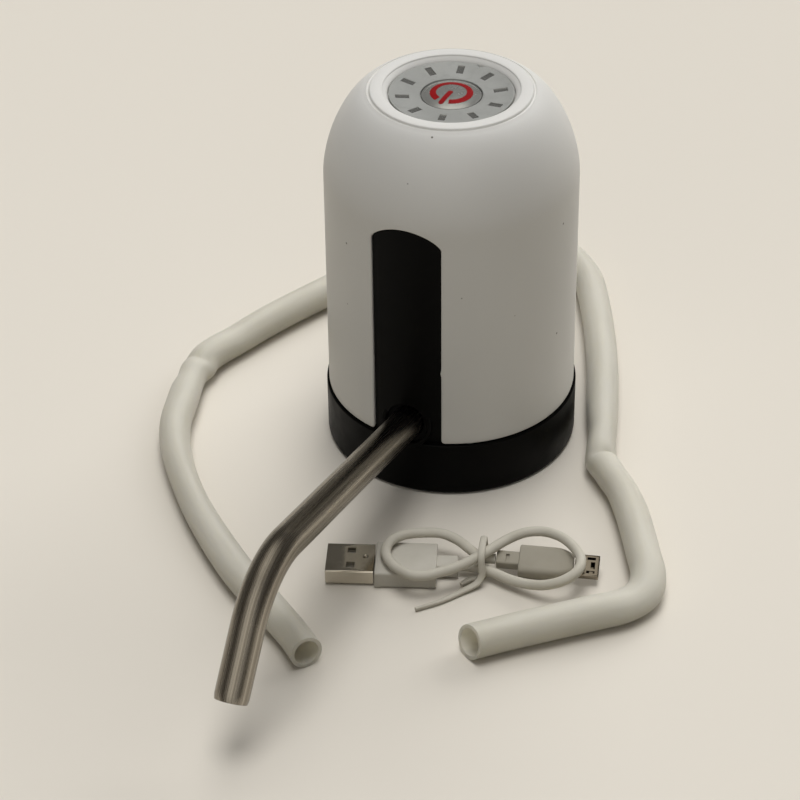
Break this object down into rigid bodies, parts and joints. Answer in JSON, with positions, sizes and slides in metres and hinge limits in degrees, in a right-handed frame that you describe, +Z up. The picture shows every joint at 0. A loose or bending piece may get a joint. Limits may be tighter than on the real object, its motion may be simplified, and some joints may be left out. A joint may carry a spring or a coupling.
{
  "type": "electric water jug pump",
  "caption": "Round electric pump for a water jug: white domed shell on a black foot ring, top button, bent steel spout, free suction hose and tied charging lead.",
  "frame": {"origin": "on the floor, under the middle of the box that the pump and its spout fill, without the loose hose and lead", "axes": "+Z up, the pump's own axis is vertical at y = 0.0589; the spout points to -Y"},
  "size_m": [0.1656, 0.2537, 0.1112],
  "materials": {
    "shell_plastic": "moulded off-white, satin",
    "black_plastic": "moulded black, satin",
    "spout_steel": "brushed lengthwise",
    "screw_steel": "plain",
    "bezel_silver": "silver lacquer, satin",
    "button_silver": "silver lacquer, glossy",
    "rubber_grey": "soft, matte",
    "switch_case": "moulded, matte",
    "circuit_board": "green solder mask",
    "led_clear": "clear resin",
    "cell_wrap": "shrink sleeve",
    "nickel": "nickel plate, satin",
    "natural_nylon": "natural, matte",
    "hub_brass": "turned",
    "motor_steel": "zinc plate",
    "ferrite": "sintered, matte",
    "winding": "laminations and enamelled copper",
    "hose_silicone": "milky, translucent",
    "wire_black": "insulation, satin",
    "wire_red": "insulation, satin",
    "lead_pvc": "warm light grey, satin"
  },
  "bodies": {
    "housing": {"outer_shell": "shell_plastic", "base_body": "black_plastic", "suction_nipple": "black_plastic", "spout_socket": "black_plastic", "motor_end_cap": "black_plastic", "pump_head": "black_plastic", "crankcase": "black_plastic", "shell_screw_1": "screw_steel", "shell_screw_2": "screw_steel", "shell_screw_3": "screw_steel", "chassis_screw_1": "screw_steel", "chassis_screw_2": "screw_steel", "chassis_screw_3": "screw_steel", "mount_screw_1": "screw_steel", "mount_screw_2": "screw_steel", "board_screw_1": "screw_steel", "board_screw_2": "screw_steel", "pump_screw_1": "screw_steel", "pump_screw_2": "screw_steel", "pump_screw_3": "screw_steel", "button_bezel": "bezel_silver", "neck_gasket": "rubber_grey", "spout_o_ring": "rubber_grey", "diaphragm": "rubber_grey", "switch_body": "switch_case", "usb_a_insert": "switch_case", "button_board": "circuit_board", "charge_board": "circuit_board", "power_led": "led_clear", "battery_cell": "cell_wrap", "battery_tab_bottom": "nickel", "battery_tab_top": "nickel", "usb_socket": "nickel", "usb_a_shell": "nickel", "micro_shell": "nickel", "chassis": "natural_nylon", "valve_plate": "natural_nylon", "wobble_yoke": "natural_nylon", "motor_can": "motor_steel", "magnet_right": "ferrite", "magnet_left": "ferrite", "inlet_sleeve": "hose_silicone", "outlet_hose": "hose_silicone", "suction_hose": "hose_silicone", "switch_cable": "wire_black", "motor_lead_black": "wire_black", "battery_lead_black": "wire_black", "motor_lead_red": "wire_red", "battery_lead_red": "wire_red", "usb_a_overmould": "lead_pvc", "micro_overmould": "lead_pvc", "usb_cable": "lead_pvc", "cable_tie": "lead_pvc"},
    "button": {"button_cap": "button_silver"},
    "plunger": {"switch_plunger": "black_plastic"},
    "spout": {"spout_tube": "spout_steel"},
    "rotor": {"motor_rotor": "winding", "crank_hub": "hub_brass", "drive_pin": "screw_steel"}
  },
  "joints": [
    {"name": "button_press", "type": "slide", "parent": "housing", "child": "button", "axis": [0, 0, -1], "range_m": [0, 0.0005], "stiffness_N_per_m": 800, "springref_m": -0.001},
    {"name": "plunger_press", "type": "slide", "parent": "housing", "child": "plunger", "axis": [0, 0, -1], "range_m": [0, 0.0005]},
    {"name": "spout_swivel", "type": "hinge", "parent": "housing", "child": "spout", "pos_m": [0, 0.02415, 0.0226], "axis": [0, -0.9755, 0.2199], "continuous": true},
    {"name": "motor_spin", "type": "hinge", "parent": "housing", "child": "rotor", "pos_m": [-0.0055, 0.06093, 0.05], "axis": [0, 0, 1], "continuous": true}
  ],
  "couplings": [
    {"joint": "plunger_press", "follows": "button_press", "ratio": 1}
  ]
}
